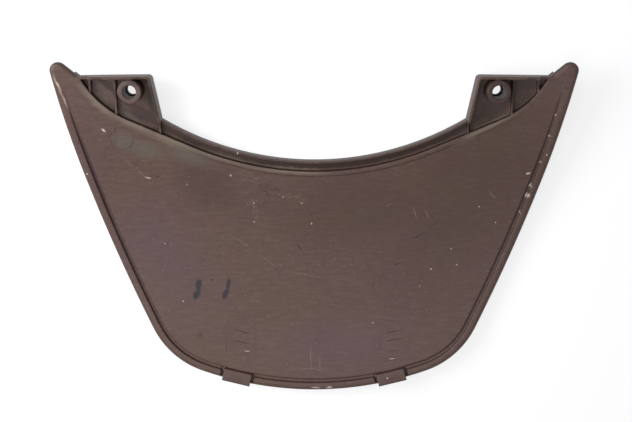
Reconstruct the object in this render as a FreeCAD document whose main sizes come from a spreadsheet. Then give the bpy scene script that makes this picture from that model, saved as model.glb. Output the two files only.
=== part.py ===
import FreeCAD, Part
import math
import os
import Sketcher

# Centre cover of a scooter: one injection-moulded plastic shell, modelled inner side up.
#
# Millimetres. X runs across the cover, Y from the bottom edge towards the horns, +Z out of the
# hollow inner side. The cover is drawn with its bottom edge on Y = 0 and moved at the end, so that
# the origin of the finished part lies under the middle of its box, on the surface it rests on.
#
# The shell is a shallow dish, bowed across its width, with a raised rim and a fine groove inside
# that rim. At the top a crest runs from horn to horn. Beyond the crest the shell steps outwards to
# a ledge, which carries a thin lip, two ears with screw bosses, and ribs. Two clip tongues stand on
# the bottom edge.

App = FreeCAD
Vec = App.Vector
doc = App.newDocument("centre_cover")

# Driving dimensions, in millimetres and degrees
SIZES = {
    "overall_width": 240.0,
    "overall_length": 162.6,
    "arc_radius": 131.0,
    "arc_drop": 48.6,
    "ear_gap": 142.2,
    "ear_lean": 10.0,
    "ear_drop": 6.6,
    "ear_corner": 2.0,
    "notch_inset": 12.6,
    "horn_tip": 3.8,
    "side_radius": 520.0,
    "corner_radius": 42.0,
    "corner_reach": 40.8,
    "bottom_radius": 160.0,
    "wall": 2.2,
    "bow_radius": 850.0,
    "dish_radius": 260.0,
    "dish_low": 65.0,
    "rise_angle": 9.5,
    "floor_fade": 1.2,
    "groove_fade": 2.4,
    "crest_inset": 5.0,
    "crest_width": 2.2,
    "crest_height": 0.7,
    "crest_turn": 14.0,
    "crest_end": 21.4,
    "step_depth": 3.6,
    "lip_width": 1.3,
    "lip_height": 3.8,
    "ear_height": 8.0,
    "rim_width": 3.8,
    "groove_width": 1.6,
    "groove_depth": 0.9,
    "boss_inset": 12.8,
    "boss_drop": 6.8,
    "boss_diameter": 10.8,
    "boss_height": 10.8,
    "hole_diameter": 6.2,
    "seat_diameter": 4.8,
    "mouth_chamfer": 0.4,
    "rib_thickness": 1.0,
    "rib_height": 3.0,
    "rib_gap": 1.6,
    "end_rib_inset": 4.8,
    "foot_rib_height": 2.4,
    "tongue_reach": 38.5,
    "tongue_width": 13.9,
    "tongue_root": 5.2,
    "tongue_overhang": 0.4,
    "tongue_height": 1.7,
    "tongue_notch": 1.3,
    "rim_round": 1.8,
}

# How far the cutting tools reach past the cover, and how far a step clears a corner
REACH = 30.0
DEEP = 20.0
TALL = 2 * DEEP + REACH
CLEAR = 0.3
SIDES = (("right", 1), ("left", -1))

# Places in plan that several pieces share, as formulas of the sheet
ARC_LOW = "(sizes.overall_length - sizes.arc_drop)"
ARC_CENTRE = "(%s + sizes.arc_radius)" % ARC_LOW
EAR_TOP = "(sizes.overall_length - sizes.ear_drop)"
EAR_FOOT = "(sizes.ear_gap / 2)"
EAR_FOOT_UP = "(%s - sqrt(sizes.arc_radius ^ 2 - %s ^ 2))" % (ARC_CENTRE, EAR_FOOT)
NOTCH = "(sizes.overall_width / 2 - sizes.notch_inset)"
CREST_TURN = "(%s - sizes.crest_turn)" % EAR_FOOT
CREST_END = "(%s - sizes.crest_end)" % NOTCH
BOSS_OUT = "(%s + sizes.boss_inset)" % EAR_FOOT
BOSS_UP = "(%s - sizes.boss_drop)" % EAR_TOP
RIB_OUT = "(%s + (sizes.boss_diameter + sizes.rib_thickness) / 2 + sizes.rib_gap)" % BOSS_OUT
END_RIB_OUT = "(%s - sizes.end_rib_inset)" % NOTCH

sheet = doc.addObject("Spreadsheet::Sheet", "sizes")
for row, (alias, number) in enumerate(SIZES.items(), start=1):
    sheet.set("A%d" % row, alias)
    sheet.set("B%d" % row, str(number))
    sheet.setAlias("B%d" % row, alias)
doc.recompute()


def size(alias):
    """The number that the sheet holds under this alias."""
    return float(sheet.get(alias))


def value(formula):
    """The number that a formula of the sheet comes to."""
    return App.Units.Quantity(str(sheet.evalExpression(formula))).Value


def dish_height(x, y):
    """Height of the panel's outer face over a place in plan."""
    angle = math.radians(size("rise_angle"))
    radius, low, bow = size("dish_radius"), size("dish_low"), size("bow_radius")
    turn = low + radius * math.sin(angle)
    if y < turn:
        rise = radius - math.sqrt(radius ** 2 - (y - low) ** 2)
    else:
        rise = radius * (1 - math.cos(angle)) + (y - turn) * math.tan(angle)
    return bow - math.sqrt((bow - rise) ** 2 - x ** 2)


class Drawing:
    """A sketch whose named dimensions follow the sheet."""

    def __init__(self, name, upright=False, height=0.0):
        self.sketch = doc.addObject("Sketcher::SketchObject", name)
        turn = App.Rotation(Vec(1, 1, 1), 120) if upright else App.Rotation()
        self.sketch.Placement = App.Placement(Vec(0, 0, height), turn)

    def line(self, start, end):
        """Draw a straight edge and return its number."""
        return self.sketch.addGeometry(Part.LineSegment(Vec(*start, 0), Vec(*end, 0)))

    def arc(self, centre, radius, start, end):
        """Draw an arc that turns anticlockwise from start to end."""
        first = math.atan2(start[1] - centre[1], start[0] - centre[0])
        last = math.atan2(end[1] - centre[1], end[0] - centre[0])
        circle = Part.Circle(Vec(*centre, 0), Vec(0, 0, 1), radius)
        return self.sketch.addGeometry(Part.ArcOfCircle(circle, first, last))

    def rule(self, *words):
        """Add a constraint that has no number."""
        self.sketch.addConstraint(Sketcher.Constraint(*words))

    def dimension(self, formula, *words):
        """Add a constraint whose number is this formula of the sheet."""
        number = self.sketch.addConstraint(Sketcher.Constraint(*words))
        self.sketch.setExpression("Constraints[%d]" % number, formula)

    def join(self, *corners):
        """Join pairs of edge ends, each given as edge, end, edge, end."""
        for corner in corners:
            self.rule("Coincident", *corner)

    def smooth(self, *corners):
        """Join pairs of edge ends so that one edge runs on into the other."""
        for corner in corners:
            self.rule("Tangent", *corner)


def meet(first, far_first, second, far_second):
    """The left-hand point at these distances from two centres."""
    span = math.dist(first, second)
    along = (span ** 2 + far_first ** 2 - far_second ** 2) / (2 * span)
    off = math.sqrt(far_first ** 2 - along ** 2)
    ux, uy = (second[0] - first[0]) / span, (second[1] - first[1]) / span
    spots = [(first[0] + along * ux - sign * off * uy, first[1] + along * uy + sign * off * ux)
             for sign in (1, -1)]
    return min(spots)


def towards(centre, radius, target):
    """The point of a circle that lies in the direction of a target."""
    span = math.dist(centre, target)
    return tuple(c + radius * (t - c) / span for c, t in zip(centre, target))


def draw_outline():
    """The cover's outline seen from its inner side."""
    half = size("overall_width") / 2
    arc_radius, foot, top = size("arc_radius"), value(EAR_FOOT), value(EAR_TOP)
    lean, fillet = math.radians(size("ear_lean")), size("ear_corner")
    tip, side, corner = size("horn_tip"), size("side_radius"), size("corner_radius")
    bottom = size("bottom_radius")

    arc_centre = (0, value(ARC_CENTRE))
    ear_foot = (foot, value(EAR_FOOT_UP))
    run = (top - fillet + fillet * math.sin(lean) - ear_foot[1]) / math.cos(lean)
    ear_end = (foot + run * math.sin(lean), ear_foot[1] + run * math.cos(lean))
    fillet_centre = (ear_end[0] + fillet * math.cos(lean), top - fillet)
    fillet_end = (fillet_centre[0], top)
    notch = (value(NOTCH), top)
    tip_centre = (half - tip, size("overall_length") - tip)
    slope = (math.atan2(tip_centre[1] - top, tip_centre[0] - notch[0])
             + math.asin(tip / math.dist(notch, tip_centre)))
    tip_start = (tip_centre[0] - tip * math.sin(slope), tip_centre[1] + tip * math.cos(slope))
    reach = size("corner_reach")
    corner_centre = (reach, bottom - math.sqrt((bottom - corner) ** 2 - reach ** 2))
    side_centre = meet(tip_centre, side - tip, corner_centre, side - corner)
    side_top = towards(side_centre, side, tip_centre)
    side_low = towards(side_centre, side, corner_centre)
    corner_end = towards((0, bottom), bottom, corner_centre)

    def flip(point):
        """The same point on the left half."""
        return (-point[0], point[1])

    plan = Drawing("outline", height=-DEEP)
    arc = plan.arc(arc_centre, arc_radius, flip(ear_foot), ear_foot)
    base = plan.arc((0, bottom), bottom, flip(corner_end), corner_end)
    ear = plan.line(ear_foot, ear_end)
    round_ear = plan.arc(fillet_centre, fillet, fillet_end, ear_end)
    ledge = plan.line(fillet_end, notch)
    horn = plan.line(notch, tip_start)
    point = plan.arc(tip_centre, tip, side_top, tip_start)
    flank = plan.arc(side_centre, side, side_low, side_top)
    turn = plan.arc(corner_centre, corner, corner_end, side_low)
    left_ear = plan.line(flip(ear_foot), flip(ear_end))
    left_round = plan.arc(flip(fillet_centre), fillet, flip(ear_end), flip(fillet_end))
    left_ledge = plan.line(flip(fillet_end), flip(notch))
    left_horn = plan.line(flip(notch), flip(tip_start))
    left_point = plan.arc(flip(tip_centre), tip, flip(tip_start), flip(side_top))
    left_flank = plan.arc(flip(side_centre), side, flip(side_top), flip(side_low))
    left_turn = plan.arc(flip(corner_centre), corner, flip(side_low), flip(corner_end))

    plan.join((arc, 2, ear, 1), (ledge, 2, horn, 1), (arc, 1, left_ear, 1),
              (left_ledge, 2, left_horn, 1))
    plan.smooth((ear, 2, round_ear, 2), (round_ear, 1, ledge, 1), (horn, 2, point, 2),
                (point, 1, flank, 2), (flank, 1, turn, 2), (turn, 1, base, 2))
    plan.smooth((left_ear, 2, left_round, 1), (left_round, 2, left_ledge, 1),
                (left_horn, 2, left_point, 1), (left_point, 2, left_flank, 1),
                (left_flank, 2, left_turn, 1), (left_turn, 2, base, 1))
    plan.rule("PointOnObject", arc, 3, -2)
    plan.rule("PointOnObject", base, 3, -2)
    plan.rule("Symmetric", arc, 1, arc, 2, -2)
    plan.rule("Symmetric", ear, 2, left_ear, 2, -2)
    plan.rule("Symmetric", ledge, 2, left_ledge, 2, -2)
    plan.rule("Symmetric", point, 3, left_point, 3, -2)
    plan.rule("Horizontal", ledge)
    for right, left in ((round_ear, left_round), (point, left_point), (flank, left_flank),
                        (turn, left_turn)):
        plan.rule("Equal", right, left)
    plan.dimension("sizes.arc_radius", "Radius", arc, arc_radius)
    plan.dimension(ARC_CENTRE, "DistanceY", -1, 1, arc, 3, arc_centre[1])
    plan.dimension(EAR_FOOT, "DistanceX", -1, 1, arc, 2, foot)
    plan.dimension("(90 - sizes.ear_lean) * 1 deg", "Angle", ear, math.pi / 2 - lean)
    plan.dimension("sizes.ear_corner", "Radius", round_ear, fillet)
    plan.dimension(EAR_TOP, "DistanceY", -1, 1, ledge, 2, top)
    plan.dimension(NOTCH, "DistanceX", -1, 1, ledge, 2, notch[0])
    plan.dimension("sizes.horn_tip", "Radius", point, tip)
    plan.dimension("sizes.overall_width / 2 - sizes.horn_tip",
                   "DistanceX", -1, 1, point, 3, tip_centre[0])
    plan.dimension("sizes.overall_length - sizes.horn_tip",
                   "DistanceY", -1, 1, point, 3, tip_centre[1])
    plan.dimension("sizes.side_radius", "Radius", flank, side)
    plan.dimension("sizes.corner_radius", "Radius", turn, corner)
    plan.dimension("sizes.corner_reach", "DistanceX", -1, 1, turn, 3, reach)
    plan.dimension("sizes.corner_reach", "DistanceX", left_turn, 3, -1, 1, reach)
    plan.dimension("sizes.bottom_radius", "Radius", base, bottom)
    plan.dimension("sizes.bottom_radius", "DistanceY", -1, 1, base, 3, bottom)
    return plan.sketch


def draw_ledge_zone():
    """The part of the plan beyond the crest, open past the cover's top."""
    radius = size("arc_radius") + size("crest_inset")
    centre = (0, value(ARC_CENTRE))
    turn, reach = value(CREST_TURN), value(CREST_END)
    far, above_ear = value(NOTCH) - CLEAR, value(EAR_TOP) + CLEAR
    roof = size("overall_length") + REACH
    slope = turn / math.sqrt(radius ** 2 - turn ** 2)
    bend = (turn, centre[1] - math.sqrt(radius ** 2 - turn ** 2))
    end, top = (reach, bend[1] + (reach - turn) * slope), (far, above_ear)
    lean = math.atan(slope)
    climb = math.atan2(top[1] - end[1], top[0] - end[0]) - lean
    curl = math.dist(end, top) / (2 * math.sin(climb))
    curl_centre = (end[0] - curl * math.sin(lean), end[1] + curl * math.cos(lean))

    def flip(point):
        """The same point on the left half."""
        return (-point[0], point[1])

    plan = Drawing("ledge_zone", height=-DEEP)
    arc = plan.arc(centre, radius, flip(bend), bend)
    run = plan.line(bend, end)
    rise = plan.arc(curl_centre, curl, end, top)
    wall = plan.line(top, (far, roof))
    lid = plan.line((far, roof), (-far, roof))
    left_wall = plan.line((-far, roof), flip(top))
    left_rise = plan.arc(flip(curl_centre), curl, flip(top), flip(end))
    left_run = plan.line(flip(end), flip(bend))
    plan.smooth((arc, 2, run, 1), (run, 2, rise, 1), (left_rise, 2, left_run, 1),
                (left_run, 2, arc, 1))
    plan.join((rise, 2, wall, 1), (wall, 2, lid, 1), (lid, 2, left_wall, 1),
              (left_wall, 2, left_rise, 1))
    plan.rule("PointOnObject", arc, 3, -2)
    plan.rule("Vertical", wall)
    plan.rule("Vertical", left_wall)
    plan.rule("Horizontal", lid)
    plan.rule("Symmetric", arc, 1, arc, 2, -2)
    plan.rule("Symmetric", rise, 2, left_rise, 1, -2)
    plan.dimension("sizes.arc_radius + sizes.crest_inset", "Radius", arc, radius)
    plan.dimension(ARC_CENTRE, "DistanceY", -1, 1, arc, 3, centre[1])
    plan.dimension(CREST_TURN, "DistanceX", -1, 1, arc, 2, turn)
    plan.dimension(CREST_END, "DistanceX", -1, 1, run, 2, reach)
    plan.dimension(CREST_END, "DistanceX", left_run, 1, -1, 1, reach)
    plan.dimension("%s - %g" % (NOTCH, CLEAR), "DistanceX", -1, 1, rise, 2, far)
    plan.dimension("%s + %g" % (EAR_TOP, CLEAR), "DistanceY", -1, 1, rise, 2, above_ear)
    plan.dimension("sizes.overall_length + %g" % REACH, "DistanceY", -1, 1, lid, 1, roof)
    return plan.sketch


def make(kind, name, **properties):
    """Add an object of the document and set its properties."""
    item = doc.addObject(kind, name)
    for key, content in properties.items():
        setattr(item, key, content)
    return item


def pad(name, source):
    """A tall block over a closed outline."""
    return make("Part::Extrusion", name, Base=source, DirMode="Custom", Dir=Vec(0, 0, 1),
                LengthFwd=TALL, Solid=True)


def shrink(name, source, formula):
    """The same outline, set inwards by a formula of the sheet (outwards if negative)."""
    inner = make("Part::Offset2D", name, Source=source)
    inner.setExpression("Value", "-(%s)" % formula)
    return inner


def cut(name, base, tool):
    """One solid less another."""
    return make("Part::Cut", name, Base=base, Tool=tool)


def common(name, base, tool):
    """What two solids share."""
    return make("Part::Common", name, Base=base, Tool=tool)


def fuse(name, *pieces):
    """Several solids joined."""
    return make("Part::MultiFuse", name, Shapes=list(pieces))


def space_above(name, formula, angle="sizes.rise_angle"):
    """Everything on the inner side of the dish surface, raised by a formula of the sheet."""
    offset, rise = value(formula), math.radians(value(angle))
    radius, low = size("dish_radius"), size("dish_low")
    near, far, roof = -REACH, size("overall_length") + REACH, DEEP + REACH
    centre = (low, radius + offset)
    start = (near, centre[1] - math.sqrt(radius ** 2 - (near - low) ** 2))
    bend = (low + radius * math.sin(rise), centre[1] - radius * math.cos(rise))
    end = (far, bend[1] + (far - bend[0]) * math.tan(rise))

    section = Drawing(name + "_section", upright=True)
    dish = section.arc(centre, radius, start, bend)
    run = section.line(bend, end)
    back = section.line(end, (far, roof))
    lid = section.line((far, roof), (near, roof))
    front = section.line((near, roof), start)
    section.smooth((dish, 2, run, 1))
    section.join((run, 2, back, 1), (back, 2, lid, 1), (lid, 2, front, 1), (front, 2, dish, 1))
    section.rule("Vertical", back)
    section.rule("Vertical", front)
    section.rule("Horizontal", lid)
    section.dimension("sizes.dish_radius", "Radius", dish, radius)
    section.dimension("sizes.dish_low", "DistanceX", -1, 1, dish, 3, low)
    section.dimension("sizes.dish_radius + (%s)" % formula, "DistanceY", -1, 1, dish, 3, centre[1])
    section.dimension("(%s) * 1 deg" % angle, "Angle", run, rise)
    section.rule("DistanceX", lid, 2, -1, 1, -near)
    section.dimension("sizes.overall_length + %g" % REACH, "DistanceX", -1, 1, back, 1, far)
    section.rule("DistanceY", -1, 1, lid, 2, roof)

    space = make("Part::Revolution", name, Source=section.sketch, Axis=Vec(0, 1, 0),
                 Symmetric=True, Solid=True)
    space.setExpression("Base.z", "sizes.bow_radius")
    half = size("overall_width") / 2 + REACH
    space.Angle = 2 * math.degrees(math.asin(half / (size("bow_radius") - roof)))
    return space


def edge_numbers(item, height, zone, apart, slack=0.02):
    """Numbers of the edges at a height over the outer face, on a zone's border and off another."""
    found, other = [], Part.Face(apart.Shape)
    for number, edge in enumerate(item.Shape.Edges, start=1):
        first, span = edge.FirstParameter, edge.LastParameter - edge.FirstParameter
        spots = [edge.valueAt(first + part * span) for part in (0.3, 0.5, 0.7)]
        if all(abs(spot.z - dish_height(spot.x, spot.y) - height) < slack
               and zone.Shape.distToShape(Part.Vertex(spot.x, spot.y, -DEEP))[0] < slack
               and not other.isInside(Vec(spot.x, spot.y, -DEEP), slack, True)
               for spot in spots):
            found.append(number)
    return found


def round_edges(name, item, reach, height, zone, apart):
    """The solid with its longer edges rounded at a height, on a zone's border and off another."""
    doc.recompute()
    report_faults()
    radius = size(reach)
    rounded = make("Part::Fillet", name, Base=item)
    rounded.Edges = [(number, radius, radius) for number in edge_numbers(item, height, zone, apart)
                     if item.Shape.Edges[number - 1].Length > radius]
    return rounded


def block(name, width, depth, x, y, turn=0.0):
    """A tall block centred on x with its near side on y, turned about the bottom arc's centre."""
    item = make("Part::Box", name, Height=TALL)
    item.setExpression("Length", width)
    item.setExpression("Width", depth)
    corner = App.Placement(Vec(value(x) - value(width) / 2, value(y), -DEEP), App.Rotation())
    pivot = Vec(0, size("bottom_radius"), 0)
    item.Placement = App.Placement(Vec(), App.Rotation(Vec(0, 0, 1), turn), pivot) * corner
    return item


def post(name, diameter, x, y, bottom, top):
    """A round upright post."""
    item = make("Part::Cylinder", name, Height=top - bottom)
    item.setExpression("Radius", "%s / 2" % diameter)
    item.Placement.Base = Vec(x, y, bottom)
    return item


def report_faults():
    """Stop if any object of the document failed."""
    bad = [item.Name for item in doc.Objects if {"Invalid", "Error"} & set(item.State)]
    if bad:
        raise RuntimeError("failed objects: %s" % ", ".join(bad))


# Plan regions
outline = draw_outline()
ledge_zone = draw_ledge_zone()
doc.recompute()
report_faults()
inside_rim = shrink("inside_rim", outline, "sizes.rim_width")
inside_groove = shrink("inside_groove", outline, "sizes.rim_width + sizes.groove_width")
inside_lip = shrink("inside_lip", outline, "sizes.lip_width")
crest_zone = shrink("crest_zone", ledge_zone, "-sizes.crest_width")

cover_block = pad("cover_block", outline)
rim_block = pad("rim_block", inside_rim)
groove_block = pad("groove_block", inside_groove)
lip_block = pad("lip_block", inside_lip)
ledge_block = pad("ledge_block", ledge_zone)
crest_block = pad("crest_block", crest_zone)

# Outer face: the dish, and the ledge one step below it
below_step = space_above("below_step", "-sizes.step_depth")
on_dish = space_above("on_dish", "0")
slab = common("slab", cover_block, below_step)
panel_block = cut("panel_block", cover_block, crest_block)
panel_air = cut("panel_air", panel_block, on_dish)
stepped = cut("stepped", slab, panel_air)

# Inner side of the panel: rim, groove and floor, each of which fades out in the horns
over_rim = space_above("over_rim", "sizes.wall + sizes.crest_height")
over_floor = space_above("over_floor", "sizes.wall", "sizes.rise_angle + sizes.floor_fade")
over_groove = space_above("over_groove", "sizes.wall - sizes.groove_depth",
                          "sizes.rise_angle + sizes.groove_fade")
beyond_ledge = cut("beyond_ledge", cover_block, ledge_block)
rim_room = common("rim_room", beyond_ledge, over_rim)
floor_plan = cut("floor_plan", groove_block, crest_block)
floor_room = common("floor_room", floor_plan, over_floor)
ring_plan = cut("ring_plan", rim_block, groove_block)
ring_clear = cut("ring_clear", ring_plan, crest_block)
groove_room = common("groove_room", ring_clear, over_groove)

# Inner side of the ledge: floor, low lip along the arc and taller rim round the ears
over_ledge = space_above("over_ledge", "sizes.wall - sizes.step_depth")
over_lip = space_above("over_lip", "sizes.wall - sizes.step_depth + sizes.lip_height")
over_ears = space_above("over_ears", "sizes.wall - sizes.step_depth + sizes.ear_height")
ledge_plan = common("ledge_plan", ledge_block, lip_block)
ledge_room = common("ledge_room", ledge_plan, over_ledge)
strip = make("Part::Box", "strip", Height=TALL)
strip.setExpression("Length", "2 * %s" % EAR_FOOT)
strip.setExpression("Width", "sizes.overall_length")
strip.setExpression("Placement.Base.x", "-%s" % EAR_FOOT)
strip.Placement.Base.z = -DEEP
strip_plan = common("strip_plan", strip, ledge_block)
lip_room = common("lip_room", strip_plan, over_lip)
ear_room = common("ear_room", ledge_block, over_ears)
ends = [block("ear_end_" + side, "2 * (%s - %s)" % (NOTCH, END_RIB_OUT), "sizes.arc_drop",
              "%d * %s" % (sign, NOTCH), ARC_LOW) for side, sign in SIDES]
end_plan = common("end_plan", fuse("ends", *ends), ledge_block)
end_room = common("end_room", end_plan, over_rim)

rooms = fuse("rooms", rim_room, floor_room, groove_room)
ledge_rooms = fuse("ledge_rooms", ledge_room, lip_room, ear_room, end_room)
dished = cut("dished", stepped, rooms)
shell = cut("shell", dished, ledge_rooms)

# The rim's rounded outer edge
rim_top = size("wall") + size("crest_height")
rounded = round_edges("rounded", shell, "rim_round", rim_top, outline, ledge_zone)

# Screw bosses on the ledge, with a bore down to a narrower seat through the floor
in_floor = space_above("in_floor", "sizes.wall / 2 - sizes.step_depth")
posts, holes = [], []
for side, sign in SIDES:
    boss_x, boss_y = sign * value(BOSS_OUT), value(BOSS_UP)
    floor = dish_height(boss_x, boss_y) + size("wall") - size("step_depth")
    top = floor + size("boss_height")
    chamfer = size("mouth_chamfer")
    posts.append(post("boss_" + side, "sizes.boss_diameter", boss_x, boss_y, -DEEP, top))
    holes.append(post("bore_" + side, "sizes.hole_diameter", boss_x, boss_y, floor, top + DEEP))
    holes.append(post("seat_" + side, "sizes.seat_diameter", boss_x, boss_y, -DEEP, top))
    mouth = make("Part::Cone", "mouth_" + side, Height=2 * chamfer)
    mouth.setExpression("Radius1", "sizes.hole_diameter / 2 - sizes.mouth_chamfer")
    mouth.setExpression("Radius2", "sizes.hole_diameter / 2 + sizes.mouth_chamfer")
    mouth.Placement.Base = Vec(boss_x, boss_y, top - chamfer)
    holes.append(mouth)
bosses = common("bosses", fuse("boss_posts", *posts), in_floor)

# Ribs across the ledge in the ears, and one at the foot of each ear
over_ribs = space_above("over_ribs", "sizes.wall - sizes.step_depth + sizes.rib_height")
over_feet = space_above("over_feet", "sizes.wall - sizes.step_depth + sizes.foot_rib_height")
rib_zone = shrink("rib_zone", ledge_zone, "-sizes.crest_width / 2")
ribs, feet = [], []
for side, sign in SIDES:
    for name, out in (("rib_", RIB_OUT), ("end_rib_", END_RIB_OUT)):
        ribs.append(block(name + side, "sizes.rib_thickness", "%s - %s" % (EAR_TOP, ARC_LOW),
                          "%d * %s" % (sign, out), "%s - sizes.lip_width / 2" % ARC_LOW))
    feet.append(block("foot_rib_" + side, "sizes.rib_thickness",
                      "%s + sizes.lip_width - %s" % (EAR_FOOT_UP, ARC_LOW),
                      "%d * (%s + sizes.rib_thickness / 2 + %g)" % (sign, EAR_FOOT, CLEAR),
                      ARC_LOW))
rib_block = pad("rib_block", rib_zone)
rib_plan = common("rib_plan", fuse("rib_blocks", *ribs), rib_block)
rib_band = cut("rib_band", in_floor, over_ribs)
rib_set = common("rib_set", rib_plan, rib_band)
foot_band = cut("foot_band", in_floor, over_feet)
foot_plan = common("foot_plan", fuse("foot_blocks", *feet), rib_block)
foot_set = common("foot_set", foot_plan, foot_band)

# Clip tongues that reach out over the bottom edge, with a narrow pit on each side
in_panel = space_above("in_panel", "sizes.wall / 2")
over_bite = space_above("over_bite", "sizes.wall + sizes.crest_height - %g" % CLEAR)
over_tongue = space_above("over_tongue", "sizes.wall + sizes.tongue_height")
tongues, pits = [], []
for side, sign in SIDES:
    turn = sign * math.degrees(math.asin(size("tongue_reach") / size("bottom_radius")))
    tongues.append(block("tongue_" + side, "sizes.tongue_width",
                         "sizes.tongue_root + sizes.tongue_overhang", "0",
                         "-sizes.tongue_overhang", turn))
    for flank, hand in SIDES:
        pits.append(block("pit_%s_%s" % (side, flank), "sizes.tongue_notch",
                          "sizes.tongue_root - sizes.lip_width",
                          "%d * (sizes.tongue_width + sizes.tongue_notch) / 2" % hand,
                          "sizes.lip_width", turn))
tongue_plan = fuse("tongue_plan", *tongues)
plate_band = cut("plate_band", over_bite, over_tongue)
plates = common("plates", tongue_plan, plate_band)
root_band = cut("root_band", in_panel, over_tongue)
root_plan = common("root_plan", tongue_plan, lip_block)
roots = common("roots", root_plan, root_band)
pit_set = common("pit_set", fuse("pit_blocks", *pits), in_panel)

# The finished cover, moved so that its origin is under the middle of its box
joined = fuse("joined", rounded, bosses, rib_set, foot_set, plates, roots)
cover = cut("cover", joined, fuse("openings", pit_set, *holes))
cover.Label = "center_cover"
doc.recompute()
report_faults()
box = cover.Shape.optimalBoundingBox(False, False)
cover.Placement.Base = Vec(0, -(box.YMin + box.YMax) / 2, -box.ZMin)
doc.recompute()
report_faults()

SUB_PARTS = [cover]
for sub_part in SUB_PARTS:
    if sub_part.Shape.isNull() or not sub_part.Shape.isValid():
        raise RuntimeError("%s has no valid shape" % sub_part.Label)
os.makedirs("parts", exist_ok=True)
for sub_part in SUB_PARTS:
    sub_part.Shape.exportStep("parts/%s.step" % sub_part.Label)
    print(sub_part.Label, "solids", len(sub_part.Shape.Solids), "faces", len(sub_part.Shape.Faces),
          "volume", round(sub_part.Shape.Volume), sub_part.Shape.optimalBoundingBox(False, False))
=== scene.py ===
import logging
import math
from dataclasses import dataclass, field
from enum import Enum
from typing import Any

import bpy
from mathutils import Matrix, Vector

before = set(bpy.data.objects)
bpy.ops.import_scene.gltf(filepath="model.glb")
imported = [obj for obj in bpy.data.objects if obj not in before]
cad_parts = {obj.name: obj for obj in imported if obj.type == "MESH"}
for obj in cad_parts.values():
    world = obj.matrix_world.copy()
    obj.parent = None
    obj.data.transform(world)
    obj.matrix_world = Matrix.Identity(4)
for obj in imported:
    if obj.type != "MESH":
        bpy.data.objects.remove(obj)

LOG = logging.getLogger("centre_cover")

# The photograph's frame in pixels, and a millimetre in metres
FRAME_WIDTH, FRAME_HEIGHT = 632, 422
MM = 0.001

Socket = bpy.types.NodeSocket
Tree = bpy.types.NodeTree
Place = tuple[float, float]
Colour = tuple[float, float, float, float]


def linear(hex_colour: str) -> Colour:
    """Turn an sRGB hex colour into the linear colour that a shader takes.

    Args:
        hex_colour: six hex digits after a hash sign.

    Returns:
        Linear red, green and blue, and an alpha of 1.
    """
    parts = [int(hex_colour[i:i + 2], 16) / 255 for i in (1, 3, 5)]
    red, green, blue = [p / 12.92 if p <= 0.04045 else ((p + 0.055) / 1.055) ** 2.4 for p in parts]
    return red, green, blue, 1.0


def add_node(tree: Tree, kind: str, inputs: dict[Any, Any] | None = None,
             **settings: Any) -> bpy.types.Node:
    """Add a node, set its options and fill or link its sockets.

    Args:
        tree: node tree that takes the node.
        kind: Blender's name for the kind of node.
        inputs: socket name or number, and a plain value or the socket to link from.
        settings: the node's own options.

    Returns:
        The new node.
    """
    node = tree.nodes.new(kind)
    for key, content in settings.items():
        setattr(node, key, content)
    for key, content in (inputs or {}).items():
        if isinstance(content, Socket):
            tree.links.new(content, node.inputs[key])
        else:
            node.inputs[key].default_value = content
    return node


class Layer(Enum):
    """What a mark does to the plastic under it, in the order in which marks lie."""

    BLOOM = "grey-green bloom on the plastic"
    # Painted sheen and reflected light: lighter violet grey on the left side, the bottom and the left
    # ear pocket
    VIOLET = "violet bloom on the plastic"
    # Painted shade: the right half, the middle, the upper left, the tongues and the left boss's ring
    # darker
    SHADE = "darker, worn stretch"
    SPOT = "dark spot"
    SEAM = "line left by a sliding part of the mould"
    # Painted highlight along the crest
    RUBBED = "stretch rubbed pale"
    # Painted shadow and shade: the ledge along the arc, the ear pockets and the right boss darker
    DIRT = "dirt caught in a corner"
    SCUFF = "field of fine pale scuffs"
    FLAKED = "stretch flaked white"
    PITTING = "field of fine dark pits"
    SCRATCH = "dark scratch"
    INK = "dab of marker ink"
    GRAZE = "pale scratch"
    CHIP = "whitened chip"


@dataclass(frozen=True)
class Coat:
    """How one layer of marks looks.

    Attributes:
        tint: the colour it lays over the plastic.
        strength: how much it covers, up to 1.
        edge: share of a mark's half width over which it fades out.
        speckle_mm: size of the specks that it breaks up into, 0 for a whole mark.
        speckle_rise: values of the noise between which a speck rises.
    """

    tint: str
    strength: float
    edge: float
    speckle_mm: float = 0.0
    speckle_rise: tuple[float, float] = (0.5, 0.66)

    def lay(self, tree: Tree, under: Socket, spots: list[Socket], place: Socket,
            inner: Socket) -> Socket:
        """Lay the coat over a colour.

        Args:
            tree: node tree of the material.
            under: the colour below.
            spots: for each mark, one in its middle, falling to nothing at its border.
            place: coordinates on the cover.
            inner: one on the cover's inner side, where the marks are.

        Returns:
            The new colour.
        """
        nearest = spots[0]
        for spot in spots[1:]:
            nearest = add_node(tree, "ShaderNodeMath", {0: nearest, 1: spot},
                               operation="MAXIMUM").outputs[0]
        mask = add_node(tree, "ShaderNodeMapRange", {0: nearest, 2: self.edge, 4: self.strength},
                        interpolation_type="SMOOTHSTEP").outputs[0]
        if self.speckle_mm:
            cloud = add_node(tree, "ShaderNodeTexNoise",
                             {"Vector": place, "Scale": 1 / (self.speckle_mm * MM)})
            low, high = self.speckle_rise
            specks = add_node(tree, "ShaderNodeMapRange", {0: cloud.outputs[0], 1: low, 2: high},
                              interpolation_type="SMOOTHSTEP")
            mask = add_node(tree, "ShaderNodeMath", {0: mask, 1: specks.outputs[0]},
                            operation="MULTIPLY").outputs[0]
        shown = add_node(tree, "ShaderNodeMath", {0: mask, 1: inner}, operation="MULTIPLY")
        return add_node(tree, "ShaderNodeMix",
                        {0: shown.outputs[0], 6: under, 7: linear(self.tint)},
                        data_type="RGBA").outputs[2]


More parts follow.
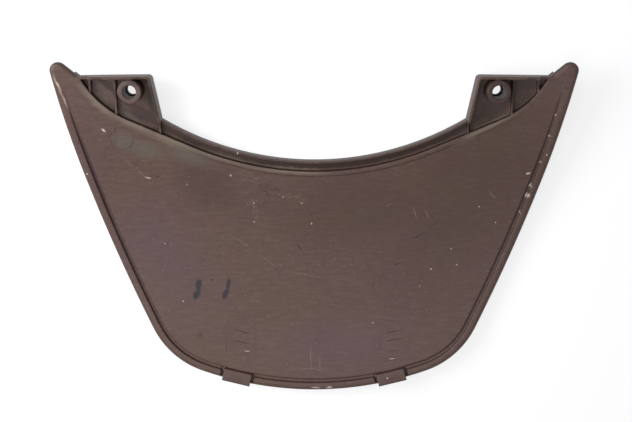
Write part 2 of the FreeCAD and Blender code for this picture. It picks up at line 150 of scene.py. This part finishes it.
COATS: dict[Layer, Coat] = {
    Layer.BLOOM: Coat("#5c5a50", 0.5, 0.95),
    # Painted sheen and reflected light: a lighter violet grey
    Layer.VIOLET: Coat("#5a4650", 0.3, 0.95),
    # Painted shade: a darker brown
    Layer.SHADE: Coat("#35221b", 0.42, 0.8),
    # Painted shadow and shade: a very dark red brown
    Layer.DIRT: Coat("#24110c", 0.74, 0.5),
    Layer.SPOT: Coat("#2c201d", 0.55, 0.9),
    Layer.SEAM: Coat("#241b18", 0.5, 0.7),
    # Painted highlight: a pale olive
    Layer.RUBBED: Coat("#7f7365", 0.55, 0.85),
    Layer.SCUFF: Coat("#7f766b", 0.5, 0.9, 0.7),
    Layer.FLAKED: Coat("#b3a08f", 0.6, 0.9),
    Layer.PITTING: Coat("#231a17", 0.7, 1.0, 1.1),
    Layer.SCRATCH: Coat("#1d1412", 0.85, 0.45),
    Layer.INK: Coat("#15131f", 0.93, 0.5),
    Layer.GRAZE: Coat("#8d8176", 0.38, 0.8),
    Layer.CHIP: Coat("#d6c8bc", 0.85, 0.9),
}


@dataclass(frozen=True)
class Mark:
    """A straight or round mark, in millimetres on the cover seen from its inner side."""

    layer: Layer
    start: Place
    end: Place
    width: float

    def spot(self, tree: Tree, place: Socket) -> Socket:
        """One on the mark's middle line, falling to nothing at its border."""
        middle = Vector(((self.start[0] + self.end[0]) / 2, (self.start[1] + self.end[1]) / 2, 0))
        turn = math.atan2(self.end[1] - self.start[1], self.end[0] - self.start[0])
        half_length = max(math.dist(self.start, self.end), self.width) / 2
        local = add_node(tree, "ShaderNodeMapping",
                         {"Vector": place, "Location": middle * MM, "Rotation": (0.0, 0.0, turn),
                          "Scale": (half_length * MM, self.width / 2 * MM, 1.0)},
                         vector_type="TEXTURE")
        return add_node(tree, "ShaderNodeTexGradient", {0: local.outputs[0]},
                        gradient_type="SPHERICAL").outputs[1]


@dataclass(frozen=True)
class Ring:
    """A ring-shaped mark, such as the print of an ejector pin."""

    layer: Layer
    centre: Place
    radius: float
    width: float

    def spot(self, tree: Tree, place: Socket) -> Socket:
        """One on the ring's line, falling to nothing at its borders."""
        local = add_node(tree, "ShaderNodeMapping",
                         {"Vector": place, "Location": Vector((*self.centre, 0)) * MM,
                          "Scale": (self.radius * MM, self.radius * MM, 1.0)},
                         vector_type="TEXTURE")
        reach = add_node(tree, "ShaderNodeVectorMath", {0: local.outputs[0]}, operation="LENGTH")
        beyond = add_node(tree, "ShaderNodeMath", {0: reach.outputs["Value"], 1: 1.0},
                          operation="SUBTRACT")
        off = add_node(tree, "ShaderNodeMath", {0: beyond.outputs[0]}, operation="ABSOLUTE")
        return add_node(tree, "ShaderNodeMapRange",
                        {0: off.outputs[0], 2: self.width / 2 / self.radius, 3: 1.0, 4: 0.0}).outputs[0]


def path(layer: Layer, width: float, *places: Place) -> list[Mark]:
    """A run of straight marks from place to place."""
    return [Mark(layer, start, end, width) for start, end in zip(places, places[1:])]


def dots(layer: Layer, across: float, *places: Place) -> list[Mark]:
    """Round marks of one size."""
    return [Mark(layer, place, place, across) for place in places]


def slide_print(left: float, right: float, top: float, bottom: float) -> list[Mark]:
    """The faint outline with an arched top that a sliding part of the mould leaves.

    Args:
        left: its left side, in millimetres.
        right: its right side.
        top: its far side.
        bottom: its near side.

    Returns:
        The lines of the outline.
    """
    line_width, corner_cut = 0.45, 2.6
    shoulder = top - corner_cut
    return path(Layer.SEAM, line_width, (left, bottom), (left, shoulder), (left + corner_cut, top),
                (right - corner_cut, top), (right, shoulder), (right, bottom))


# Prints of the mould, seen on the inner side
MOULD_PRINTS: tuple[Mark | Ring, ...] = tuple(
    [Ring(Layer.SEAM, (-89.5, 45.0), 5.4, 0.6)]
    + path(Layer.SEAM, 0.5, (-92.0, 58.5), (-93.1, 36.0))
    + path(Layer.SEAM, 0.8, (76.1, 48.8), (77.6, 38.5))
    + slide_print(-43.2, -28.8, -46.4, -69.0)
    + path(Layer.SCRATCH, 0.75, (-40.6, -51.6), (-31.4, -53.3))
    + path(Layer.SCRATCH, 0.75, (-40.8, -56.7), (-30.6, -58.5))
    + path(Layer.CHIP, 0.6, (-35.1, -62.0), (-31.3, -62.4))
    + slide_print(32.4, 46.8, -47.0, -68.0)
    + path(Layer.SCRATCH, 0.75, (34.5, -53.4), (43.0, -51.3))
    + path(Layer.SCRATCH, 0.75, (34.6, -57.7), (45.2, -55.1))
    + path(Layer.SCRATCH, 0.5, (35.4, -62.2), (43.0, -61.6))
    + path(Layer.CHIP, 0.5, (35.8, -65.9), (40.7, -65.4)))

# Blooms, scratches, scuffs and chips of use, with painted sheen, shade, shadow and highlight, seen on
# the inner side
WEAR_AND_PAINTED_LIGHT: tuple[Mark | Ring, ...] = tuple(
    path(Layer.BLOOM, 15.0, (-97.0, 45.0), (-80.0, 42.0))
    + path(Layer.BLOOM, 13.0, (-92.0, 44.0), (-66.0, 35.0))
    + path(Layer.BLOOM, 12.0, (-76.0, 42.0), (-42.0, 29.0))
    # Painted sheen and reflected light: lighter violet grey over the left ear pocket, the left side and
    # the bottom
    + path(Layer.VIOLET, 14.0, (-104.0, 71.0), (-84.0, 60.0))
    + path(Layer.VIOLET, 9.0, (-112.0, 52.0), (-98.0, 10.0))
    + path(Layer.VIOLET, 64.0, (-104.0, 34.0), (-44.0, -62.0))
    + path(Layer.VIOLET, 44.0, (-50.0, -64.0), (76.0, -54.0))
    # Painted shade: the upper left, the right half, the middle and the tongues darker
    + path(Layer.SHADE, 30.0, (-70.0, 32.0), (-30.0, 8.0))
    + path(Layer.SHADE, 90.0, (30.0, -50.0), (116.0, 92.0))
    + path(Layer.SHADE, 56.0, (-40.0, 2.0), (84.0, 16.0))
    + path(Layer.SHADE, 10.0, (-47.0, -74.2), (-30.5, -78.8))
    + path(Layer.SHADE, 10.0, (30.5, -78.8), (47.0, -74.2))
    # Painted highlight: a pale band along the crest, most of it on its left half
    + path(Layer.RUBBED, 7.0, (-110.0, 74.0), (-88.0, 51.0))
    + path(Layer.RUBBED, 7.0, (-101.0, 62.0), (-68.0, 43.0))
    + path(Layer.RUBBED, 6.5, (-86.0, 51.5), (-46.0, 34.6))
    + path(Layer.RUBBED, 6.0, (-64.0, 41.4), (-20.0, 28.6))
    + path(Layer.RUBBED, 5.0, (-40.0, 31.0), (16.0, 25.8))
    + path(Layer.RUBBED, 3.6, (60.0, 38.6), (98.0, 60.0))
    # Painted shadow and shade: a dark band in the ledge along the arc, the right ear pocket, and strips
    # of the left ear pocket beside the boss and under the rim
    + [Ring(Layer.DIRT, (0.0, 163.7), 133.4, 4.4)]
    # Painted shade on the left boss's ring, painted shadow on the right boss's ring
    + [Ring(Layer.SHADE, (-83.9, 67.9), 4.2, 3.4), Ring(Layer.DIRT, (83.9, 67.9), 4.2, 3.4)]
    + path(Layer.DIRT, 17.0, (74.0, 66.0), (97.0, 67.0))
    + path(Layer.DIRT, 12.0, (74.0, 55.0), (92.0, 64.0))
    + path(Layer.DIRT, 7.0, (88.0, 71.0), (106.0, 70.0))
    + path(Layer.DIRT, 9.0, (-75.0, 74.0), (-73.0, 52.0))
    + path(Layer.DIRT, 8.0, (-88.0, 59.0), (-72.0, 53.0))
    + path(Layer.DIRT, 5.0, (-86.0, 72.6), (-74.0, 72.6))
    + path(Layer.SCUFF, 7.0, (-41.0, 27.0), (-17.0, 22.0))
    + path(Layer.SCUFF, 6.0, (-22.0, 18.0), (0.0, 12.0))
    + path(Layer.SCUFF, 5.0, (-30.0, 16.0), (-27.0, 0.0))
    + path(Layer.SCUFF, 2.4, (99.0, 12.0), (94.0, -6.0), (86.0, -24.0))
    + path(Layer.FLAKED, 2.0, (-119.0, 78.0), (-113.6, 62.5))
    + path(Layer.FLAKED, 1.6, (-116.4, 70.0), (-111.6, 57.0))
    + path(Layer.PITTING, 10.0, (-34.0, 22.0), (-10.0, 15.0))
    + path(Layer.SCRATCH, 0.7, (-8.7, -8.4), (-5.5, -13.2))
    + path(Layer.SCRATCH, 0.9, (46.9, -6.1), (54.0, -2.0))
    + path(Layer.SCRATCH, 0.5, (53.0, -2.4), (62.5, 5.6))
    + path(Layer.SCRATCH, 0.6, (38.4, -19.4), (43.4, -17.6))
    + path(Layer.SCRATCH, 0.45, (-78.0, 27.5), (-71.0, 24.0))
    + path(Layer.GRAZE, 0.45, (-42.4, -2.8), (-28.0, -13.0), (-16.2, -22.0), (6.0, -26.0))
    + path(Layer.GRAZE, 0.5, (-91.1, 36.6), (-84.0, 30.0), (-78.8, 24.8))
    + path(Layer.GRAZE, 0.8, (82.0, 19.7), (87.8, 14.1))
    + path(Layer.GRAZE, 0.6, (-2.0, -57.0), (-1.4, -74.0))
    + path(Layer.GRAZE, 0.5, (2.4, -62.0), (3.2, -74.6))
    + path(Layer.GRAZE, 0.5, (-12.0, -70.6), (8.0, -71.4))
    + path(Layer.GRAZE, 0.7, (34.0, 10.6), (38.6, 12.0))
    + path(Layer.GRAZE, 0.8, (47.0, 11.0), (50.0, 3.4))
    + path(Layer.GRAZE, 0.8, (53.0, 9.6), (55.5, 3.4))
    + path(Layer.INK, 3.4, (-55.8, -24.8), (-56.9, -33.0))
    + path(Layer.INK, 3.8, (-56.0, -30.0), (-58.6, -37.2))
    + path(Layer.INK, 3.0, (-41.2, -25.0), (-42.6, -32.6))
    + path(Layer.INK, 3.6, (-41.8, -30.0), (-45.0, -37.0))
    + dots(Layer.INK, 1.5, (-49.9, -26.3))
    + dots(Layer.SPOT, 4.2, (-56.0, -54.0))
    + dots(Layer.SPOT, 2.4, (-70.6, -7.8), (-1.0, 6.0), (58.0, -12.0))
    + dots(Layer.CHIP, 0.9, (-71.9, -7.6), (-6.1, 11.9), (-29.1, 12.0), (-28.7, 2.3), (-15.0, 14.8),
           (-60.7, 21.8), (66.2, -10.3), (69.1, -18.3), (78.7, 10.8), (87.0, 3.2), (51.6, -29.7),
           (56.6, -20.9), (29.0, -48.0), (-64.0, -37.0))
    + dots(Layer.CHIP, 1.2, (-1.3, 1.5), (-39.9, 26.1), (110.9, 56.7), (109.1, 46.5), (108.5, 37.4),
           (106.0, 33.9), (98.2, 8.6), (-106.6, 28.1), (36.0, -74.6))
    + path(Layer.CHIP, 1.6, (-98.9, 50.1), (-96.4, 48.4))
    + path(Layer.CHIP, 0.9, (-80.2, 26.0), (-77.0, 24.8))
    + path(Layer.CHIP, 1.3, (-36.4, 36.0), (-35.9, 38.2))
    + path(Layer.CHIP, 1.5, (99.4, 27.4), (102.4, 28.4))
    + path(Layer.CHIP, 2.0, (102.6, 23.4), (102.0, 20.6))
    + path(Layer.CHIP, 2.8, (101.6, 18.8), (100.4, 15.8))
    + path(Layer.CHIP, 0.9, (-117.0, 73.0), (-116.2, 69.6))
    + path(Layer.CHIP, 1.2, (-2.4, -79.6), (4.0, -80.0))
    + path(Layer.CHIP, 1.6, (5.4, -79.9), (9.4, -79.7)))


@dataclass(frozen=True)
class Film:
    """A patchy film over the whole plastic.

    Attributes:
        tint: its colour.
        strength: how much it covers where it is thickest, up to 1.
        size_mm: size of its patches.
        fray: how finely the borders of its patches fray.
        rise: values of the noise between which it thickens.
        drawn_out: how many times longer its patches are across the cover.
    """

    tint: str
    strength: float
    size_mm: float
    fray: float
    rise: tuple[float, float]
    drawn_out: float = 1.0

    def lay(self, tree: Tree, under: Socket | Colour, place: Socket) -> Socket:
        """Lay the film over a colour.

        Args:
            tree: node tree of the material.
            under: the colour below.
            place: coordinates on the cover.

        Returns:
            The new colour.
        """
        stretched = add_node(tree, "ShaderNodeVectorMath",
                             {0: place, 1: (1 / self.drawn_out, 1.0, 1.0)}, operation="MULTIPLY")
        cloud = add_node(tree, "ShaderNodeTexNoise",
                         {"Vector": stretched.outputs[0], "Scale": 1 / (self.size_mm * MM),
                          "Detail": self.fray})
        low, high = self.rise
        mask = add_node(tree, "ShaderNodeMapRange",
                        {0: cloud.outputs[0], 1: low, 2: high, 4: self.strength},
                        interpolation_type="SMOOTHSTEP")
        return add_node(tree, "ShaderNodeMix",
                        {0: mask.outputs[0], 6: under, 7: linear(self.tint)},
                        data_type="RGBA").outputs[2]


# The second tone of the plastic, then a haze of wiping, soot and specks of dust
FILMS = (Film("#4e3834", 1.0, size_mm=30.0, fray=3.0, rise=(0.35, 0.65)),
         Film("#8b7f76", 0.09, size_mm=1.3, fray=5.0, rise=(0.4, 0.75), drawn_out=5.0),
         Film("#332622", 0.3, size_mm=2.2, fray=4.0, rise=(0.5, 0.8)),
         Film("#8b7f76", 0.4, size_mm=1.0, fray=1.0, rise=(0.66, 0.82)))


@dataclass(frozen=True)
class MouldedAbs:
    """Brown ABS, injection moulded.

    Attributes:
        brown: the plastic's own colour.
        films: what lies over all of it.
        marks: prints of the mould, marks of use, and painted sheen, shade, shadow and highlight on the
            inner side.
        flank_shade_colour: colour of the painted shade on the rim's flanks and the walls.
        flank_shade_amount: how much painted shade an upright face gets, up to 1.
        flank_rise: heights of the normal from an upright face to a lying one.
        inner_rise: heights of the normal between which the inner side begins.
        stray_mm: how far the marks stray from their true lines.
        stray_size_mm: length over which they stray.
        edge_radius_mm: radius of the edges that the solid has plain.
    """

    # A polished mould leaves a satin face: broad, soft highlights on the crest and the rim, and no
    # mirror. The colour goes right through, so a scuff or a chip shows paler, never bare.
    brown: str = "#503b32"
    ior: float = 1.53
    roughness: float = 0.5
    gloss_level: float = 0.33
    films: tuple[Film, ...] = FILMS
    marks: tuple[Mark | Ring, ...] = MOULD_PRINTS + WEAR_AND_PAINTED_LIGHT
    # Painted shade: the more upright a face, the darker it is painted
    flank_shade_colour: str = "#332622"
    flank_shade_amount: float = 0.55
    flank_rise: tuple[float, float] = (0.25, 0.9)
    inner_rise: tuple[float, float] = (0.1, 0.3)
    stray_mm: float = 0.7
    stray_size_mm: float = 3.5
    edge_radius_mm: float = 1.1
    # The mould's own grain is too fine for the render to show, so it is drawn this coarse
    grain_mm: float = 0.7
    grain_depth_mm: float = 0.06
    grain_strength: float = 0.4

    def build(self) -> bpy.types.Material:
        """Make the material.

        Returns:
            The finished material.
        """
        material = bpy.data.materials.new("moulded_brown_abs")
        material.use_nodes = True
        tree = material.node_tree
        shader = tree.nodes["Principled BSDF"]
        place = add_node(tree, "ShaderNodeTexCoord").outputs["Object"]
        colour = linear(self.brown)
        for film in self.films:
            colour = film.lay(tree, colour, place)
        # Painted shade on the upright faces
        colour = self.shade_upright_faces(tree, colour)
        inner = self.inner_side(tree)
        strayed = self.strayed(tree, place)
        for layer in Layer:
            spots = [mark.spot(tree, strayed) for mark in self.marks if mark.layer is layer]
            colour = COATS[layer].lay(tree, colour, spots, strayed, inner)
        tree.links.new(colour, shader.inputs["Base Color"])
        shader.inputs["IOR"].default_value = self.ior
        shader.inputs["Roughness"].default_value = self.roughness
        shader.inputs["Specular IOR Level"].default_value = self.gloss_level
        tree.links.new(self.grain(tree, place), shader.inputs["Normal"])
        return material

    def strayed(self, tree: Tree, place: Socket) -> Socket:
        """Coordinates that stray a little, so that a straight mark looks made by chance."""
        noise = add_node(tree, "ShaderNodeTexNoise",
                         {"Vector": place, "Scale": 1 / (self.stray_size_mm * MM), "Detail": 1.0})
        centred = add_node(tree, "ShaderNodeVectorMath", {0: noise.outputs[1], 1: (0.5, 0.5, 0.5)},
                           operation="SUBTRACT")
        stray = add_node(tree, "ShaderNodeVectorMath",
                         {0: centred.outputs[0], 3: 2 * self.stray_mm * MM}, operation="SCALE")
        return add_node(tree, "ShaderNodeVectorMath", {0: place, 1: stray.outputs[0]},
                        operation="ADD").outputs[0]

    def inner_side(self, tree: Tree) -> Socket:
        """One on faces that look up out of the hollow side, nothing on the outer face."""
        normal = add_node(tree, "ShaderNodeNewGeometry").outputs["True Normal"]
        height = add_node(tree, "ShaderNodeSeparateXYZ", {0: normal}).outputs[2]
        low, high = self.inner_rise
        return add_node(tree, "ShaderNodeMapRange", {0: height, 1: low, 2: high},
                        interpolation_type="SMOOTHSTEP").outputs[0]

    def shade_upright_faces(self, tree: Tree, under: Socket) -> Socket:
        """Paint shade on the rim's flanks and the walls: the more upright a face, the darker it is
        painted.
        """
        normal = add_node(tree, "ShaderNodeNewGeometry").outputs["Normal"]
        height = add_node(tree, "ShaderNodeSeparateXYZ", {0: normal}).outputs[2]
        slope = add_node(tree, "ShaderNodeMath", {0: height}, operation="ABSOLUTE").outputs[0]
        upright, lying = self.flank_rise
        mask = add_node(tree, "ShaderNodeMapRange",
                        {0: slope, 1: upright, 2: lying, 3: self.flank_shade_amount, 4: 0.0},
                        interpolation_type="SMOOTHSTEP")
        return add_node(tree, "ShaderNodeMix",
                        {0: mask.outputs[0], 6: under, 7: linear(self.flank_shade_colour)},
                        data_type="RGBA").outputs[2]

    def grain(self, tree: Tree, place: Socket) -> Socket:
        """The rounded edges and the fine grain that the light shows."""
        soft = add_node(tree, "ShaderNodeBevel", {"Radius": self.edge_radius_mm * MM}, samples=8)
        fine = add_node(tree, "ShaderNodeTexNoise",
                        {"Vector": place, "Scale": 1 / (self.grain_mm * MM)})
        return add_node(tree, "ShaderNodeBump",
                        {"Height": fine.outputs[0], "Distance": self.grain_depth_mm * MM,
                         "Strength": self.grain_strength, "Normal": soft.outputs[0]}).outputs[0]


@dataclass
class CentreCover:
    """The cover itself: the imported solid, dressed in brown moulded ABS."""

    node: str = "center_cover"
    finish: MouldedAbs = field(default_factory=MouldedAbs)

    def dress(self) -> bpy.types.Object:
        """Give the solid its material.

        Returns:
            The dressed object.
        """
        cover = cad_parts[self.node]
        cover.data.materials.clear()
        cover.data.materials.append(self.finish.build())
        LOG.info("dressed %s, %d faces", self.node, len(cover.data.polygons))
        return cover


def seen_as_background(tree: Tree) -> Socket:
    """One where the camera sees a surface straight, or in a gloss or through glass."""
    rays = add_node(tree, "ShaderNodeLightPath").outputs
    gloss_or_glass = add_node(tree, "ShaderNodeMath",
                              {0: rays["Is Glossy Ray"], 1: rays["Is Transmission Ray"]},
                              operation="MAXIMUM")
    return add_node(tree, "ShaderNodeMath",
                    {0: rays["Is Camera Ray"], 1: gloss_or_glass.outputs[0]},
                    operation="MAXIMUM").outputs[0]


@dataclass
class Studio:
    """A white table top and the white room round it.

    Attributes:
        half_width: half the table's width, in metres.
        glow: white that the paper shows of itself, so that only a shadow greys it.
        paper: the paper's colour under the lamps, as it is seen.
        bounce: its colour as the light that it throws on the cover has it.
        dark_side: light of the room from the side of the bottom edge.
        light_side: light of the room from the side of the horns.
    """

    half_width: float = 4.0
    glow: float = 0.76
    paper: str = "#9c9ca0"
    bounce: str = "#d0d0d0"
    dark_side: float = 0.06
    light_side: float = 0.36

    def build(self) -> None:
        """Make the table top and the room."""
        bpy.ops.mesh.primitive_plane_add(size=2 * self.half_width)
        table = bpy.context.object
        table.name = "table"
        table.data.materials.append(self.white_paper())
        world = bpy.data.worlds.new("white_room")
        bpy.context.scene.world = world
        world.use_nodes = True
        tree = world.node_tree
        direction = add_node(tree, "ShaderNodeTexCoord").outputs["Generated"]
        towards_horns = add_node(tree, "ShaderNodeSeparateXYZ", {0: direction}).outputs[1]
        light = add_node(tree, "ShaderNodeMapRange",
                         {0: towards_horns, 1: -1.0, 2: 1.0, 3: self.dark_side, 4: self.light_side})
        strength = add_node(tree, "ShaderNodeMix",
                            {0: seen_as_background(tree), 2: light.outputs[0], 3: 1.0}).outputs[0]
        room = add_node(tree, "ShaderNodeBackground", {"Color": (1, 1, 1, 1), "Strength": strength})
        tree.links.new(room.outputs[0], tree.nodes["World Output"].inputs[0])
        LOG.info("table and room ready")

    def white_paper(self) -> bpy.types.Material:
        """White paper: it shows as white, keeps a faint shadow and throws back plain light."""
        material = bpy.data.materials.new("white_paper")
        material.use_nodes = True
        tree = material.node_tree
        tree.nodes.remove(tree.nodes["Principled BSDF"])
        plain = add_node(tree, "ShaderNodeBsdfDiffuse", {0: linear(self.bounce)}).outputs[0]
        shaded = add_node(tree, "ShaderNodeBsdfDiffuse", {0: linear(self.paper)}).outputs[0]
        glow = add_node(tree, "ShaderNodeEmission", {"Strength": self.glow}).outputs[0]
        white = add_node(tree, "ShaderNodeAddShader", {0: shaded, 1: glow}).outputs[0]
        both = add_node(tree, "ShaderNodeMixShader",
                        {0: seen_as_background(tree), 1: plain, 2: white}).outputs[0]
        tree.links.new(both, tree.nodes["Material Output"].inputs[0])
        return material


@dataclass
class SoftBox:
    """A square soft light of plain white, placed round the cover, in degrees and metres."""

    name: str
    azimuth: float
    elevation: float
    distance: float
    width: float
    watts: float

    def build(self) -> None:
        """Make the lamp and turn it to the cover."""
        lamp = bpy.data.lights.new(self.name, "AREA")
        lamp.size, lamp.energy = self.width, self.watts
        holder = bpy.data.objects.new(self.name, lamp)
        bpy.context.collection.objects.link(holder)
        turn, lift = math.radians(self.azimuth), math.radians(self.elevation)
        aim = Vector((math.cos(turn) * math.cos(lift), math.sin(turn) * math.cos(lift), math.sin(lift)))
        holder.matrix_world = (Matrix.Translation(aim * self.distance)
                               @ aim.to_track_quat("Z", "Y").to_matrix().to_4x4())
        LOG.info("lamp %s ready", self.name)


# The window, from the left and the horns' side, gives the shading, and the ceiling the sheen
LAMPS = (SoftBox("window", azimuth=158, elevation=42, distance=0.5, width=0.28, watts=2.2),
         SoftBox("ceiling", azimuth=190, elevation=78, distance=0.65, width=0.35, watts=1.1))


@dataclass
class PhotoCamera:
    """The camera of the photograph, above the cover and tipped towards the horns' side.

    Attributes:
        distance: from the target, in metres.
        tilt: degrees off the vertical.
        focal_pixels: focal length, in pixels of the photograph.
        target: the point on the cover that is aimed at, in metres.
        target_pixel: where that point falls in the photograph.
        sensor_mm: width of the sensor.
        near_limit: distance from which the camera sees, in metres.
    """

    distance: float = 0.570
    tilt: float = 14.0
    focal_pixels: float = 1190.0
    target: tuple[float, float, float] = (0.0, 0.0005, 0.0085)
    target_pixel: Place = (314.2, 228.3)
    sensor_mm: float = 36.0
    near_limit: float = 0.01

    def build(self) -> None:
        """Place the camera so that the target falls on its pixel."""
        lean = math.radians(self.tilt)
        back, right = Vector((0, math.sin(lean), math.cos(lean))), Vector((1, 0, 0))
        up = back.cross(right)
        metres = self.distance / self.focal_pixels
        across = (FRAME_WIDTH / 2 - self.target_pixel[0]) * metres
        along = (self.target_pixel[1] - FRAME_HEIGHT / 2) * metres
        spot = Vector(self.target)
        eye = spot + back * self.distance
        back = (eye - (spot + right * across + up * along)).normalized()
        right = up.cross(back).normalized()
        up = back.cross(right)
        data = bpy.data.cameras.new("photo_camera")
        data.sensor_width = self.sensor_mm
        data.lens = self.sensor_mm * self.focal_pixels / FRAME_WIDTH
        data.clip_start = self.near_limit
        camera = bpy.data.objects.new("photo_camera", data)
        bpy.context.collection.objects.link(camera)
        turn = Matrix((right, up, back)).transposed().to_4x4()
        camera.matrix_world = Matrix.Translation(eye) @ turn
        bpy.context.scene.camera = camera
        LOG.info("camera ready, %.1f mm lens", data.lens)


def main() -> None:
    """Dress the cover, light it and place the camera."""
    logging.basicConfig(level=logging.INFO, format="%(message)s")
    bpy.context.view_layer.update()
    CentreCover().dress()
    Studio().build()
    for lamp in LAMPS:
        lamp.build()
    PhotoCamera().build()
    bpy.context.scene.view_settings.view_transform = "Standard"


if __name__ == "__main__":
    main()
